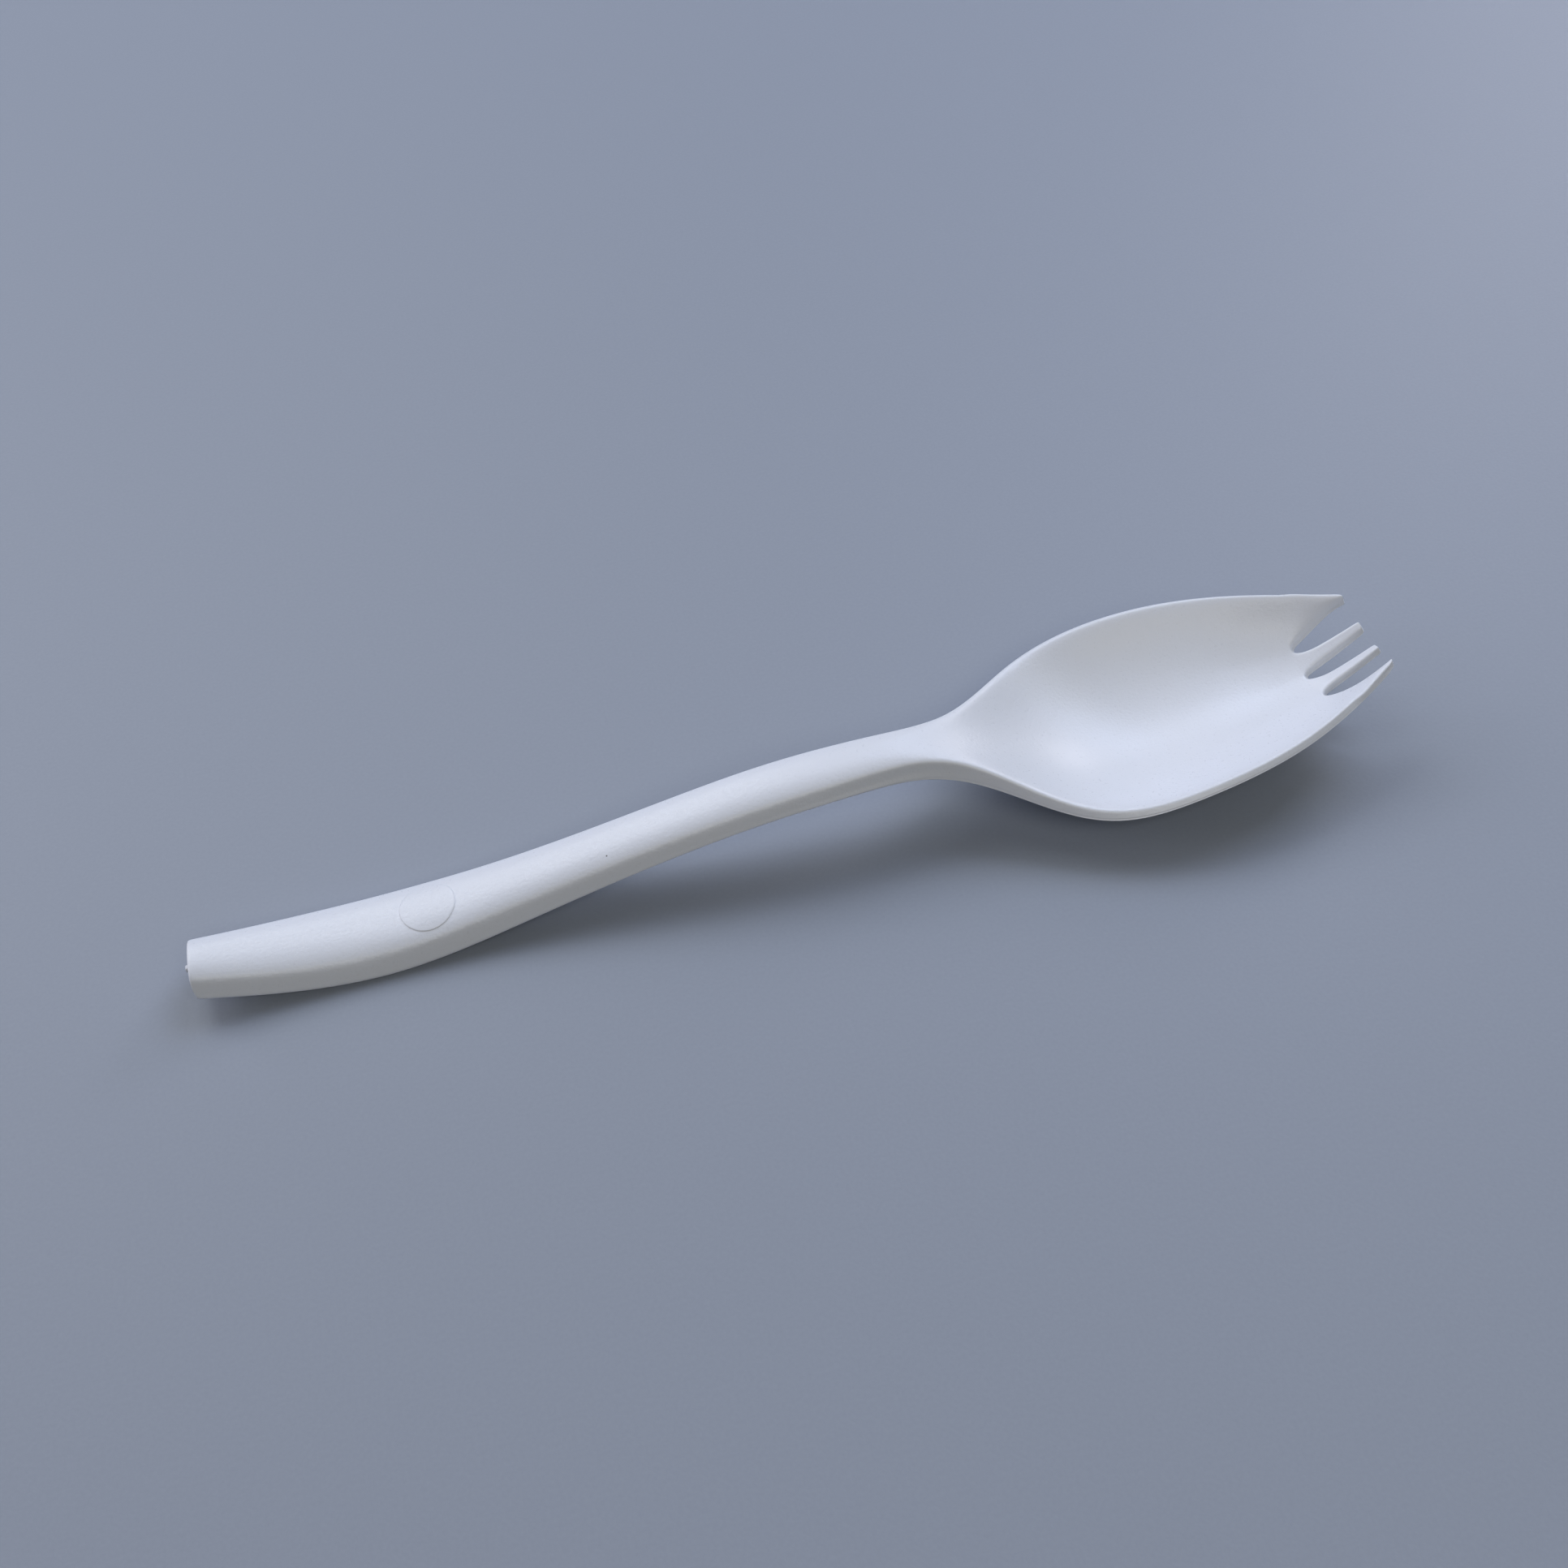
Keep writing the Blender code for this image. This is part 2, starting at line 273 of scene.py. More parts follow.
@dataclass(frozen=True)
class TineSizes:
    """Sizes of the tines and slots at their parting edge."""

    inner_length: float = 8.0
    outer_length: float = 7.3
    outer_slant: float = 1.4
    slot_width: float = 1.15
    inner_root: float = 3.52
    inner_tip: float = 1.8
    tip_spacing: float = 4.5
    outer_tip: float = 1.1
    outer_bend: float = 1.8
    outer_band: float = 0.3
    draft: float = 0.9
    draft_share: float = 0.5
    outer_draft: float = 0.3
    roll: float = 0.5
    tip_draft: float = 0.6
    rim_share: float = 0.4


@dataclass(frozen=True)
class MarkSizes:
    """Sizes of what the mould left: a pin's round pad, the gate's stub and the parting line.

    A side lists the loops round the wall, each with its share of the way down and of the way out.
    """

    pad_middle: float = 30.5
    pad_radius: float = 3.8
    pad_height: float = 0.1
    pad_edge: float = 0.06
    pad_hold: float = 0.12
    pad_span: float = 67.5
    pad_lane: Lane = Lane.OUTER_NEAR
    gate_length: float = 0.8
    gate_width: float = 1.2
    gate_tip: float = 0.8
    gate_height: float = 1.0
    gate_hold: float = 0.1
    gate_rounding: float = 0.62
    gate_steps: tuple[float, ...] = (0.0, 0.5, 1.0)
    gate_lane: Lane = Lane.INNER_RIDGE
    gate_loops: tuple[int, int] = (1, 2)
    end_side: tuple[float, ...] = (0.2, 0.38, 0.82, 0.92)
    handle_side: tuple[tuple[float, float], ...] = (
        (0.25, 0.5), (0.5, 0.9), (0.75, 1.0), (1.0, 0.4))
    bowl_side: tuple[tuple[float, float], ...] = (
        (0.35, 0.35), (0.66, 0.66), (0.78, 0.78), (0.9, 0.9))
    parting_loop: int = 2
    parting_depth: float = 0.06


@dataclass(frozen=True)
class CageSizes:
    """Rows along and lanes across the coarse cage, and how it is held while it is smoothed."""

    handle_rows: tuple[float, ...] = (
        0.0, 1.0, 7.5, 15.0, 22.0, 26.7, 30.5, 34.3,
        39.0, 45.5, 52.5, 59.5, 66.5, 73.0, 79.0, 85.0)
    bowl_rows: int = 16
    tine_shares: tuple[float, ...] = (0.0, 0.15, 0.42, 0.68, 0.90, 1.0)
    lane_shares: tuple[float, ...] = (0.0, 0.15, 0.30, 0.46, 0.63, 0.81)
    slot_lanes: tuple[Lane, Lane] = (Lane.MIDDLE, Lane.INNER_FAR)
    holding: float = 1.0
    handle_rounding: float = 0.25
    rounding: float = 0.25
    handle_tuck: float = 0.95
    bowl_tuck: float = 0.05
    wall_hold: float = 0.32
    smoothing: int = 2


@dataclass(frozen=True)
class Row:
    """One row of the cage: its place, and its share of the tines if it is past the slots."""

    along: float
    share: float | None = None


@dataclass
class SporkForm:
    """Surfaces of the moulding, as heights over the table."""

    handle: HandleSizes = field(default_factory=HandleSizes)
    bowl: BowlSizes = field(default_factory=BowlSizes)
    tines: TineSizes = field(default_factory=TineSizes)
    cage: CageSizes = field(default_factory=CageSizes)

    def __post_init__(self) -> None:
        """Draw the curves that run through the named stations."""
        handle, bowl = self.handle, self.bowl
        self.neck = handle.neck.along
        self.length = bowl.tip.along
        self.root = self.length - self.tines.inner_length
        stations = (handle.end, handle.grip, handle.waist, handle.shank, handle.neck,
                    bowl.shoulder, bowl.flank, bowl.widest, bowl.front, bowl.tip)
        places = [station.along for station in stations]
        self.half_width = NaturalCurve(places, [station.width / 2 for station in stations])
        self.edge_height = NaturalCurve(places, [station.height for station in stations])
        self.rise = EasedCurve(
            (0.0, handle.grip.along, handle.shank.along, self.neck, bowl.flank.along, self.length),
            (handle.end_rise, handle.grip_rise, handle.shank_rise, handle.neck_rise,
             bowl.rim_rise, bowl.tip_rise))
        self.wall = EasedCurve(
            (self.neck, bowl.shoulder.along, bowl.bottom, self.length),
            (handle.neck_rise + handle.edge_drop, bowl.shoulder_wall, bowl.wall, bowl.tine_wall))
        self.lip = EasedCurve(
            (handle.shank.along, self.neck, bowl.shoulder.along, bowl.widest.along, self.length),
            (0.0, handle.neck_lip, bowl.shoulder_lip, bowl.rim_lip, bowl.tip_lip))
        self.depth = NaturalCurve(
            (handle.shank.along, self.neck, bowl.shoulder.along, bowl.flank.along, bowl.bottom,
             bowl.fore, self.root, self.length),
            (0.0, 0.0, bowl.shoulder_depth, bowl.flank_depth,
             self.crest(bowl.bottom) - bowl.wall + bowl.table_cut, bowl.fore_depth,
             bowl.root_depth, bowl.tip_depth))

    def crest(self, x: float) -> float:
        """Height of the crown or of the rim's top."""
        return self.edge_height(x) + self.rise(x)

    def bowl_share(self, x: float) -> float:
        """How far the section has turned from the handle's into the bowl's."""
        return smooth_step((x - self.neck) / (self.bowl.flank.along - self.neck))

    def band(self, x: float) -> float:
        """Width of the rounded rim band, which narrows with the handle and the tines."""
        return min(self.bowl.rim_band, self.bowl.narrow_band * self.half_width(x))

    def side(self, x: float) -> float:
        """Height of the upper surface's edge over the parting edge."""
        return self.rise(x) * mix(self.handle.side, self.bowl.side, self.bowl_share(x))

    def rim_share(self, x: float) -> float:
        """How far the side has turned from the handle's rolled one into the bowl's thin rim."""
        start = self.handle.shank.along
        return smooth_step((x - start) / (self.bowl.shoulder.along - start))

    def lean(self, x: float) -> float:
        """How far the rim's top edge stands in from its widest line, so that the rim faces up."""
        lean = self.bowl.lean * (self.lip(x) + self.side(x))
        return self.rim_share(x) * min(lean, self.bowl.lean_most)

    def inner(self, x: float) -> float:
        """Half width inside the rim, out to the crease where the rim begins."""
        return self.half_width(x) - self.band(x) - self.bowl.crease_lean * self.lean(x)

    def rounding(self, x: float) -> float:
        """How far the cage's widest line stands out, because smoothing draws it in."""
        return mix(self.cage.handle_rounding, self.cage.rounding, self.rim_share(x))

    def tuck(self, x: float) -> float:
        """Share of the rim band that the lower edge is drawn in, so that the side rolls under."""
        return mix(self.cage.handle_tuck, self.cage.bowl_tuck, self.rim_share(x))

    @staticmethod
    def arc(share: float, half: float, depth: float) -> float:
        """Hang a round arc between two edges.

        Args:
            share: Place across, from 0 in the middle to 1 at the edge.
            half: Half of the arc's width.
            depth: Depth of the arc in the middle.

        Returns:
            Share of the depth at that place.
        """
        share = min(share, 1.0)
        if depth < FLAT_ARC * half:
            return 1 - share ** 2
        radius = (half ** 2 + depth ** 2) / (2 * depth)
        return ((radius ** 2 - (half * share) ** 2) ** 0.5 - radius + depth) / depth

    def top(self, x: float, y: float) -> float:
        """Height of the upper surface: a crown on the handle, a round bowl behind the tines.

        Args:
            x: Place along the spork.
            y: Place across it.

        Returns:
            Height over the table.
        """
        turned = self.bowl_share(x)
        half = self.half_width(x)
        side = self.side(x)
        across = min(abs(y) / half, 1.0)
        crown = (1 - across ** mix(self.handle.crown_power, self.bowl.rim_power, turned)) ** 0.5
        inner = self.inner(x)
        depth = self.depth(x) if x > self.neck else 0.0
        bowl = depth * self.arc(abs(y) / inner, inner, depth)
        return self.edge_height(x) + side + (self.rise(x) - side) * crown - bowl

    def channel(self, x: float, y: float) -> float:
        """Depth of the hollow under the handle, whose walls stand between two lanes of the cage.

        Args:
            x: Place along the spork.
            y: Place across it.

        Returns:
            Depth of the hollow, which fades out at both ends.
        """
        handle = self.handle
        along = min(x - handle.channel_start, handle.channel_end - x) / handle.channel_runout
        across = abs(y) / self.half_width(x)
        shares = self.cage.lane_shares
        floor_edge, wall_foot = shares[Lane.INNER_FAR], shares[Lane.OUTER_NEAR]
        wall = smooth_step((wall_foot - across) / (wall_foot - floor_edge))
        return handle.channel_depth * smooth_step(along) * wall

    def under(self, x: float, y: float) -> float:
        """Height of the lower surface: nearly flat under the handle, a belly under the bowl.

        Args:
            x: Place along the spork.
            y: Place across it.

        Returns:
            Height over the table, which it doesn't pass.
        """
        half = self.half_width(x)
        across = min(abs(y) / half, 1.0)
        drop = self.handle.edge_drop
        if x > self.neck:
            drop = self.depth(x) + self.wall(x) - self.rise(x)
        flat = 1 - across ** self.handle.flat_power
        belly = mix(flat, self.arc(across, half, drop), self.bowl_share(x))
        height = self.edge_height(x) - mix(self.lip(x), drop, belly) + self.channel(x, y)
        return max(height, 0.0)

    def rows(self) -> list[Row]:
        """List the cage's rows.

        Returns:
            The rows from the handle's end to the tips.
        """
        cage = self.cage
        last = self.root - cage.holding
        bowl = [mix(self.neck, last, i / cage.bowl_rows) for i in range(cage.bowl_rows + 1)]
        return ([Row(x) for x in (*cage.handle_rows, *bowl)]
                + [Row(self.root, share) for share in cage.tine_shares])

    def lanes(self, x: float) -> list[float]:
        """Spread the lanes across the handle and bowl, drawn together towards the slots' sides.

        Args:
            x: Place along the spork, up to the slots.

        Returns:
            Place of each lane across the spork.
        """
        tines = self.tines
        band = self.inner(x)
        inner = tines.slot_width / 2
        outer = inner + tines.inner_root
        far = outer + tines.slot_width
        slots = (0.0, inner, (inner + outer) / 2, outer, far, (far + band) / 2)
        widest = self.bowl.widest.along
        gathered = smooth_step((x - widest) / (self.root - self.cage.holding - widest))
        spread = [mix(share * band, slot, gathered)
                  for share, slot in zip(self.cage.lane_shares, slots)]
        return [*spread, band, self.half_width(x) + self.rounding(x)]

    def tine_lanes(self, x: float, share: float) -> list[float]:
        """Spread the lanes across the tines.

        Args:
            x: Place along the spork.
            share: Share of the way from the slots' bottoms to the tips.

        Returns:
            Place of each lane across the spork.
        """
        tines = self.tines
        rim = self.half_width(x) + self.rounding(x)
        middle, half_tip = tines.tip_spacing / 2, tines.inner_tip / 2
        tips = (0.0, middle - half_tip, middle, middle + half_tip)
        roots = self.lanes(self.root)
        spread = [mix(root, tip, share) for root, tip in zip(roots, tips)]
        outer = mix(roots[Lane.OUTER_NEAR], rim - tines.outer_tip, share ** tines.outer_bend)
        band = rim - min(self.band(x), tines.outer_band * (rim - outer))
        return [*spread, outer, (outer + band) / 2, band, rim]


@dataclass(frozen=True)
class WhitePolypropylene:
    """Injection-moulded white polypropylene from a spark-eroded mould.

    The eye sees a cool off-white with a satin sheen, a fine grain where it mirrors a window, faint
    clouds where the melt flowed, a trace of light in the thin edges, and a rare dark speck.
    """

    name: str = "moulded_white_polypropylene"
    body: str = "#DFE2E8"
    flow: str = "#D9DCE2"
    speck: str = "#5B5850"
    roughness: tuple[float, float] = (0.26, 0.42)
    sheen_ramp: tuple[float, float] = (0.3, 0.7)
    ior: float = 1.49
    # The eroded grain is a few hundredths of a millimetre wide. It is drawn coarser to show.
    grain: float = 0.45
    grain_depth: float = 0.035
    grain_detail: float = 2.0
    grain_fineness: float = 0.6
    flow_size: float = 22.0
    flow_detail: float = 3.0
    waviness: float = 3.5
    waviness_depth: float = 0.010
    waviness_detail: float = 1.0
    speck_place: tuple[float, float] = (54.6, -2.3)
    speck_size: float = 0.22
    speck_ramp: tuple[float, float] = (0.3, 0.6)
    glow: float = 0.06
    glow_depth: float = 0.5
    glow_spread: tuple[float, float, float] = (1.0, 0.9, 0.8)

    def material(self, form: SporkForm, middle: float) -> bpy.types.Material:
        """Make the material.

        Args:
            form: Surfaces of the moulding, to seat the speck on.
            middle: Mid-length of the part, where its frame has its origin.

        Returns:
            The material with its nodes.
        """
        material = bpy.data.materials.new(self.name)
        material.use_nodes = True
        tree = material.node_tree
        shader = tree.nodes["Principled BSDF"]
        place = add_node(tree, "ShaderNodeTexCoord").outputs["Object"]
        cloud = add_node(tree, "ShaderNodeTexNoise", Vector=place,
                         Scale=1 / (self.flow_size * MM), Detail=self.flow_detail)
        colours = {MIX_FIRST: linear_colour(self.body), MIX_SECOND: linear_colour(self.flow)}
        colour = add_node(tree, "ShaderNodeMix", {"data_type": "RGBA"}, colours,
                          Factor=cloud.outputs["Fac"])
        x, y = self.speck_place
        spot = Vector((x - middle, y, form.top(x, y))) * MM
        away = add_node(tree, "ShaderNodeVectorMath", {"operation": "DISTANCE"},
                        {0: place, 1: spot})
        core, edge = (share * self.speck_size * MM for share in self.speck_ramp)
        dark = add_node(tree, "ShaderNodeMapRange", Value=away.outputs["Value"],
                        From_Min=core, From_Max=edge, To_Min=1.0, To_Max=0.0)
        colours = {MIX_FIRST: colour.outputs[MIX_RESULT], MIX_SECOND: linear_colour(self.speck)}
        marked = add_node(tree, "ShaderNodeMix", {"data_type": "RGBA"}, colours,
                          Factor=dark.outputs["Result"])
        tree.links.new(marked.outputs[MIX_RESULT], shader.inputs["Base Color"])
        grain = add_node(tree, "ShaderNodeTexNoise", Vector=place, Scale=1 / (self.grain * MM),
                         Detail=self.grain_detail, Roughness=self.grain_fineness)
        sheen = add_node(tree, "ShaderNodeMapRange", Value=grain.outputs["Fac"],
                         From_Min=self.sheen_ramp[0], From_Max=self.sheen_ramp[1],
                         To_Min=self.roughness[0], To_Max=self.roughness[1])
        tree.links.new(sheen.outputs["Result"], shader.inputs["Roughness"])
        swell = add_node(tree, "ShaderNodeTexNoise", Vector=place,
                         Scale=1 / (self.waviness * MM), Detail=self.waviness_detail)
        wavy = add_node(tree, "ShaderNodeBump", Height=swell.outputs["Fac"],
                        Distance=self.waviness_depth * MM, Strength=1.0)
        rough = add_node(tree, "ShaderNodeBump", Height=grain.outputs["Fac"],
                         Distance=self.grain_depth * MM, Strength=1.0,
                         Normal=wavy.outputs["Normal"])
        tree.links.new(rough.outputs["Normal"], shader.inputs["Normal"])
        shader.inputs["IOR"].default_value = self.ior
        shader.inputs["Subsurface Weight"].default_value = self.glow
        shader.inputs["Subsurface Radius"].default_value = self.glow_spread
        shader.inputs["Subsurface Scale"].default_value = self.glow_depth * MM
        return material


@dataclass(frozen=True)
class GreyLaminate:
    """Matt grey pressed laminate: the eye sees a plain cool grey with a fine printed grain."""

    name: str = "matt_grey_laminate"
    light: str = "#8F96A2"
    dark: str = "#888F9B"
    roughness: float = 0.55
    # The printed grain is about a tenth of a millimetre wide. It is drawn coarser to show.
    grain: float = 0.5
    grain_depth: float = 0.015
    grain_detail: float = 3.0

    def material(self) -> bpy.types.Material:
        """Make the material.

        Returns:
            The material with its nodes.
        """
        material = bpy.data.materials.new(self.name)
        material.use_nodes = True
        tree = material.node_tree
        shader = tree.nodes["Principled BSDF"]
        place = add_node(tree, "ShaderNodeTexCoord").outputs["Object"]
        grain = add_node(tree, "ShaderNodeTexNoise", Vector=place, Scale=1 / (self.grain * MM),
                         Detail=self.grain_detail)
        colours = {MIX_FIRST: linear_colour(self.light), MIX_SECOND: linear_colour(self.dark)}
        colour = add_node(tree, "ShaderNodeMix", {"data_type": "RGBA"}, colours,
                          Factor=grain.outputs["Fac"])
        tree.links.new(colour.outputs[MIX_RESULT], shader.inputs["Base Color"])
        bump = add_node(tree, "ShaderNodeBump", Height=grain.outputs["Fac"],
                        Distance=self.grain_depth * MM, Strength=1.0)
        tree.links.new(bump.outputs["Normal"], shader.inputs["Normal"])
        shader.inputs["Roughness"].default_value = self.roughness
        return material


@dataclass
class Spork:
    """The moulding: a cage of rows and lanes, walled, marked by its mould and smoothed."""

    form: SporkForm = field(default_factory=SporkForm)
    marks: MarkSizes = field(default_factory=MarkSizes)
    finish: WhitePolypropylene = field(default_factory=WhitePolypropylene)
    name: str = "spork_moulding"
    node: str = "spork"
    slot: str = "white_plastic"

    def __post_init__(self) -> None:
        """List the rows, and find the pad's row and the part's mid-length."""
        self.rows = self.form.rows()
        self.pad_row = self.form.cage.handle_rows.index(self.marks.pad_middle)
        self.middle = (self.form.length - self.marks.gate_length) / 2

    def under_place(self, row: int, lane: int) -> tuple[float, float]:
        """Place a point of the underside, seen from above.

        Args:
            row: Number of its row.
            lane: Number of its lane.

        Returns:
            Its places along and across the spork.
        """
        form, tines, share = self.form, self.form.tines, self.rows[row].share
        x = self.rows[row].along
        if share is None:
            return x, form.lanes(x)[lane]
        length = tines.inner_length if lane <= Lane.INNER_FAR else tines.outer_length
        if lane == Lane.RIM:
            length -= tines.outer_slant
        x += share * (length + form.cage.rounding)
        return x, form.tine_lanes(x, share)[lane]

    def pad_place(self, row: int, lane: int) -> tuple[float, float]:
        """Place a point of the three rows at the pad, whose inner lanes lie round its edge.

        Args:
            row: Number of its row.
            lane: Number of its lane.

        Returns:
            Its places along and across the spork.
        """
        marks, last = self.marks, self.marks.pad_lane
        reach = marks.pad_radius + marks.pad_hold
        step = row - self.pad_row
        if lane <= last:
            turn = radians(marks.pad_span) * lane / last
            across = sin(turn) if step else lane / last
            return marks.pad_middle + step * reach * cos(turn), reach * across
        x, y = self.under_place(row, lane)
        _, edge = self.pad_place(row, last)
        spread = (lane - last) / (Lane.RIM - last)
        along = marks.pad_middle + step * reach * mix(cos(radians(marks.pad_span)), 1.0, spread)
        if lane == last + 1:
            y = (edge + self.under_place(row, lane + 1)[1]) / 2
        if lane == Lane.RIM:
            y -= self.form.rounding(x)
        return along, y

    def top_place(self, row: int, lane: int) -> tuple[float, float]:
        """Place a point of the top, which the draft draws in from the point below it.

        Args:
            row: Number of its row.
            lane: Number of its lane.

        Returns:
            Its places along and across the spork.
        """
        if abs(row - self.pad_row) <= 1:
            return self.pad_place(row, lane)
        form, tines, share = self.form, self.form.tines, self.rows[row].share
        x, y = self.under_place(row, lane)
        if share is None:
            return x, y - form.rounding(x) - form.lean(x) if lane == Lane.RIM else y
        if share in (0.0, 1.0):
            x -= tines.tip_draft if share else tines.draft
        if lane == Lane.RIM:
            y = mix(y, self.under_place(row, Lane.CREASE)[1], tines.rim_share)
        if share and lane in (Lane.INNER_NEAR, Lane.INNER_FAR):
            y = mix(y, self.under_place(row, Lane.INNER_RIDGE)[1], tines.draft_share)
        if share and lane in (Lane.OUTER_NEAR, Lane.OUTER_RIDGE):
            band = self.under_place(row, Lane.CREASE)[1]
            inside = self.under_place(row, Lane.OUTER_NEAR)[1]
            inside += min(tines.draft, tines.outer_draft * (band - inside))
            y = inside if lane == Lane.OUTER_NEAR else (inside + band) / 2
        return x, y

    def point(self, row: int, lane: int, layer: int, loop: int) -> Vector:
        """Place a point of the cage.

        Args:
            row: Number of its row.
            lane: Number of its lane, from the middle line out.
            layer: Top, wall or underside.
            loop: Number of its loop, if it is on the wall.

        Returns:
            Its place in millimetres.
        """
        form, marks = self.form, self.marks
        x, y = self.top_place(row, lane)
        height = form.top(x, y)
        if lane == Lane.RIM:
            height = form.edge_height(x) + form.side(x)
        elif self.rows[row].share and lane != Lane.OUTER_RIDGE:
            height = form.top(x, mix(y, self.under_place(row, lane)[1], form.tines.roll))
        top = Vector((x, y, height))
        if layer == Layer.TOP:
            return top
        x, y = self.under_place(row, lane)
        if layer == Layer.UNDER and lane == Lane.RIM:
            y = mix(y, self.under_place(row, Lane.CREASE)[1], form.tuck(x))
        under = Vector((x, y, form.under(x, y)))
        if layer == Layer.UNDER:
            return under
        turned = form.rim_share(x)
        down, out = (mix(low, high, turned)
                     for low, high in zip(marks.handle_side[loop], marks.bowl_side[loop]))
        if row == END_ROW and lane < Lane.RIM:
            down = marks.end_side[loop]
        inset = turned * marks.parting_depth if loop == marks.parting_loop else 0.0
        wall = Vector((mix(top.x, under.x, out), mix(top.y, under.y, out),
                       mix(top.z, under.z, down)))
        return wall - inset * Vector((under.x - top.x, under.y - top.y, 0.0)).normalized()

    def build_cage(self) -> bmesh.types.BMesh:
        """Make the closed coarse cage, in millimetres.

        A flat half is cut open at the slots, walled by extruding it a loop at a time, shaped and
        mirrored. The sheet that each extrusion leaves inside the wall is removed.

        Returns:
            The cage, with its rows, lanes, layers and loops as point layers.
        """
        cage = bmesh.new()
        row_of = cage.verts.layers.int.new("row")
        lane_of = cage.verts.layers.int.new("lane")
        layer_of = cage.verts.layers.int.new("layer")
        loop_of = cage.verts.layers.int.new("loop")
        hold_of = cage.edges.layers.float.new("crease_edge")
        last_row, last_loop = len(self.rows) - 1, len(self.marks.bowl_side)
        root = last_row - len(self.form.cage.tine_shares) + 1
        bmesh.ops.create_grid(cage, x_segments=last_row, y_segments=Lane.RIM, size=GRID_HALF)
        for point in cage.verts:
            point[row_of] = round((point.co.x + GRID_HALF) * last_row)
            point[lane_of] = round((point.co.y + GRID_HALF) * Lane.RIM)
        slots = [face for face in cage.faces
                 if min(point[row_of] for point in face.verts) >= root
                 and min(point[lane_of] for point in face.verts) in self.form.cage.slot_lanes]
        bmesh.ops.delete(cage, geom=slots, context='FACES')
        sheet = cage.faces[:]
        for loop in range(last_loop + 1):
            made = bmesh.ops.extrude_face_region(cage, geom=sheet)["geom"]
            if loop:
                bmesh.ops.delete(cage, geom=sheet, context='FACES')
            sheet = [item for item in made if isinstance(item, bmesh.types.BMFace)]
            for point in (item for item in made if isinstance(item, bmesh.types.BMVert)):
                point[layer_of] = Layer.UNDER if loop == last_loop else Layer.WALL
                point[loop_of] = loop
        for point in cage.verts:
            point.co = self.point(
                point[row_of], point[lane_of], point[layer_of], point[loop_of])
        for edge in cage.edges:
            start, end = edge.verts
            walled = start[layer_of] == end[layer_of] == Layer.WALL
            if walled and start[loop_of] == end[loop_of]:
                edge[hold_of] = self.form.cage.wall_hold
        centre = [face for face in cage.faces
                  if all(point[lane_of] == Lane.MIDDLE for point in face.verts)]
        bmesh.ops.delete(cage, geom=centre, context='FACES')
        half = cage.verts[:] + cage.edges[:] + cage.faces[:]
        bmesh.ops.mirror(cage, geom=half, axis='Y', merge_dist=MERGE)
        bmesh.ops.recalc_face_normals(cage, faces=cage.faces)
        return cage

    def raise_pad(self, cage: bmesh.types.BMesh) -> None:
        """Raise the round pad that the end of a mould pin left on the crown.

        Args:
            cage: The cage, whose lanes already lie round the pad's edge.
        """
        marks = self.marks
        row_of, lane_of, layer_of = (
            cage.verts.layers.int[name] for name in ("row", "lane", "layer"))
        region = [face for face in cage.faces
                  if all(point[layer_of] == Layer.TOP and abs(point[row_of] - self.pad_row) <= 1
                         and point[lane_of] <= marks.pad_lane for point in face.verts)]
        hold, step = (marks.pad_hold, 0.0), (marks.pad_edge, marks.pad_height)
        for width, height in (hold, step, hold):
            bmesh.ops.inset_region(
                cage, faces=region, thickness=width, depth=height, use_even_offset=True)

    def add_gate(self, cage: bmesh.types.BMesh) -> None:
        """Draw the stub of the gate out of the middle of the handle's end.

        Args:
            cage: The cage, closed at the handle's end.
        """
        marks, end = self.marks, self.form.handle.end
        row_of, lane_of, layer_of, loop_of = (
            cage.verts.layers.int[name] for name in ("row", "lane", "layer", "loop"))
        region = [face for face in cage.faces
                  if all(point[row_of] == END_ROW and point[lane_of] <= marks.gate_lane
                         and point[layer_of] == Layer.WALL and point[loop_of] in marks.gate_loops
                         for point in face.verts)]
        bmesh.ops.inset_region(
            cage, faces=region, thickness=marks.gate_hold, use_even_offset=True)
        height = end.height + marks.gate_height
        for reach in marks.gate_steps:
            if reach:
                made = bmesh.ops.extrude_face_region(cage, geom=region)["geom"]
                bmesh.ops.delete(cage, geom=region, context='FACES')
                region = [item for item in made if isinstance(item, bmesh.types.BMFace)]
            points = list(dict.fromkeys(point for face in region for point in face.verts))
            centre = sum((point.co for point in points), Vector()) / len(points)
            radius = mix(marks.gate_width, marks.gate_tip, reach) * marks.gate_rounding
            for point in points:
                turn = atan2(point.co.z - centre.z, point.co.y - centre.y)
                point.co.x = -reach * marks.gate_length
                point.co.y = radius * cos(turn)
                point.co.z = height + radius * sin(turn)

    def build(self) -> bpy.types.Object:
        """Build the moulding and link it to the scene.

        Returns:
            The piece, with its subdivision as a live modifier.
        """
        cage = self.build_cage()
        self.raise_pad(cage)
        self.add_gate(cage)
        place = Matrix.Scale(MM, 4) @ Matrix.Translation((-self.middle, 0.0, 0.0))
        bmesh.ops.transform(cage, matrix=place, verts=cage.verts)
        bmesh.ops.recalc_face_normals(cage, faces=cage.faces)
        mesh = bpy.data.meshes.new(self.name)
        cage.to_mesh(mesh)
        cage.free()
        mesh.shade_smooth()
        piece = bpy.data.objects.new(self.name, mesh)
        bpy.context.scene.collection.objects.link(piece)
        smoothing = piece.modifiers.new("smoothing", 'SUBSURF')
        smoothing.levels = self.form.cage.smoothing
        smoothing.render_levels = self.form.cage.smoothing
        return piece

    def dress(self, piece: bpy.types.Object) -> None:
        """Give the moulding its plastic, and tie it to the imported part.

        Args:
            piece: The piece that build made.
        """
        piece.data.materials.append(self.finish.material(self.form, self.middle))
        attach(piece, "root")
        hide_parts(self.node)


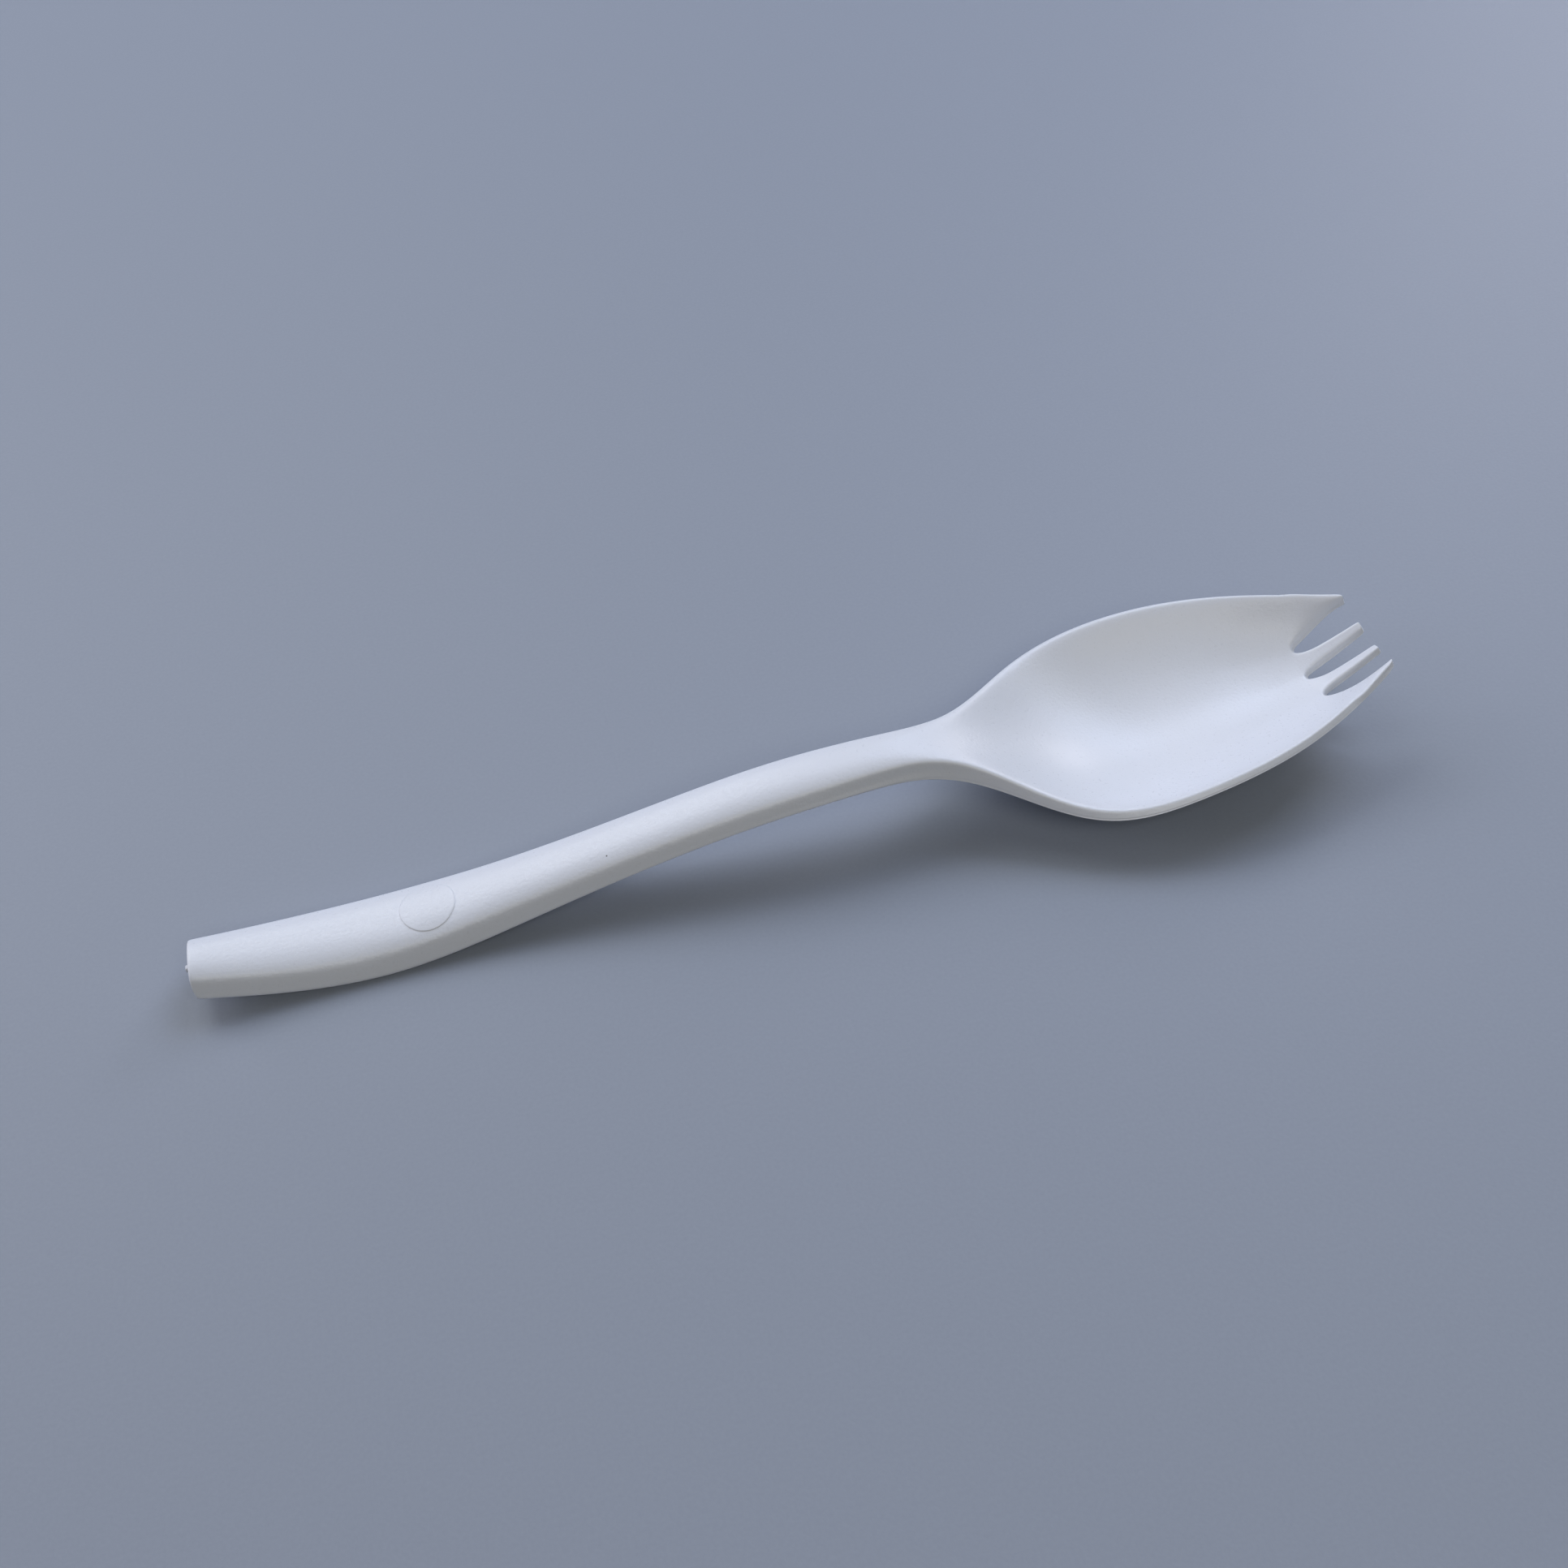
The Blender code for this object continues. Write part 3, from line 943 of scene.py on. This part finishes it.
@dataclass
class Table:
    """The table top that the spork lies on, with its side in metres."""

    side: float = 6.0
    finish: GreyLaminate = field(default_factory=GreyLaminate)
    name: str = "table_top"

    def build(self) -> bpy.types.Object:
        """Returns:
            The table top.
        """
        sheet = bmesh.new()
        bmesh.ops.create_grid(sheet, x_segments=1, y_segments=1, size=self.side / 2)
        mesh = bpy.data.meshes.new(self.name)
        sheet.to_mesh(mesh)
        sheet.free()
        table = bpy.data.objects.new(self.name, mesh)
        bpy.context.scene.collection.objects.link(table)
        mesh.materials.append(self.finish.material())
        return table


@dataclass(frozen=True)
class Window:
    """A soft window of light: its place and size in metres, its power in watts, its colour."""

    name: str
    place: tuple[float, float, float]
    width: float
    height: float
    power: float
    colour: str

    def build(self) -> None:
        """Hang the window in the scene, facing the spork."""
        lamp = bpy.data.lights.new(self.name, 'AREA')
        lamp.shape = 'RECTANGLE'
        lamp.size = self.width
        lamp.size_y = self.height
        lamp.energy = self.power
        lamp.color = linear_colour(self.colour)[:3]
        window = bpy.data.objects.new(self.name, lamp)
        window.location = self.place
        window.rotation_euler = (-Vector(self.place)).to_track_quat('-Z', 'Y').to_euler()
        bpy.context.scene.collection.objects.link(window)


@dataclass(frozen=True)
class Studio:
    """Soft light of a studio.

    Two cool windows stand behind the spork, panels fill in from the other sides, and a small low
    window brightens the back of the bowl.
    """

    room: str = "#F2F1EF"
    room_strength: float = 0.02
    windows: tuple[Window, ...] = (
        Window("back_right_window", (0.589, 0.589, 0.863), 0.8, 0.5, 5.8, "#D4E1FF"),
        Window("back_left_window", (-0.285, 0.783, 0.863), 0.8, 0.5, 4.9, "#F3F8FF"),
        Window("right_panel", (0.771, 0.0, 0.919), 0.8, 0.5, 1.2, "#FEFFFC"),
        Window("left_panel", (-0.932, 0.560, 0.507), 1.2, 0.5, 6.2, "#EFEFFF"),
        Window("front_panel", (0.070, -0.770, 0.920), 0.9, 0.5, 3.9, "#FFFCF3"),
        Window("low_window", (0.821, 0.739, 0.469), 0.3, 0.3, 1.7, "#F7F5FF"),
    )

    def build(self) -> None:
        """Light the room and hang its windows."""
        world = bpy.data.worlds.new("pale_room")
        world.use_nodes = True
        backdrop = world.node_tree.nodes["Background"]
        backdrop.inputs["Color"].default_value = linear_colour(self.room)
        backdrop.inputs["Strength"].default_value = self.room_strength
        bpy.context.scene.world = world
        for window in self.windows:
            window.build()


@dataclass(frozen=True)
class PhotoCamera:
    """Camera at the photograph's place.

    Its place is in millimetres from the handle's end, its angles are in degrees, and its focal
    length is a share of the picture's side.
    """

    place: tuple[float, float, float] = (49.637, -132.168, 168.717)
    down: float = 49.366
    turn: float = 12.748
    roll: float = -4.515
    focal_share: float = 1935 / 1932
    sensor: float = 36.0
    near: float = 0.01

    def build(self, middle: float) -> bpy.types.Object:
        """Set up the camera.

        Args:
            middle: Mid-length of the spork, where the part's frame has its origin.

        Returns:
            The scene's camera.
        """
        down, turn, roll = radians(self.down), radians(self.turn), radians(self.roll)
        ahead = Vector((sin(turn) * cos(down), cos(turn) * cos(down), -sin(down)))
        right = Vector((cos(turn), -sin(turn), 0.0))
        up = right.cross(ahead)
        side = cos(roll) * right + sin(roll) * up
        top = cos(roll) * up - sin(roll) * right
        data = bpy.data.cameras.new("photo_camera")
        data.sensor_width = self.sensor
        data.lens = self.sensor * self.focal_share
        data.clip_start = self.near
        camera = bpy.data.objects.new("photo_camera", data)
        turned = Matrix((side, top, -ahead)).transposed().to_4x4()
        spot = Vector(self.place) - Vector((middle, 0.0, 0.0))
        camera.matrix_world = Matrix.Translation(spot * MM) @ turned
        bpy.context.scene.collection.objects.link(camera)
        bpy.context.scene.camera = camera
        return camera


def main() -> None:
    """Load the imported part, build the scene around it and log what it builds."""
    logging.basicConfig(level=logging.INFO, format="%(name)s: %(message)s")
    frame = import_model()
    LOG.info("packed part with %d node", len(frame["nodes"]))
    bpy.context.scene.view_settings.view_transform = 'Standard'
    spork = Spork()
    camera = PhotoCamera().build(spork.middle)
    LOG.info("camera %s, lens %.2f mm", camera.name, camera.data.lens)
    piece = spork.build()
    spork.dress(piece)
    LOG.info("piece %s, %d cage faces", piece.name, len(piece.data.polygons))
    table = Table().build()
    LOG.info("stage %s", table.name)
    Studio().build()


if __name__ == "__main__":
    main()
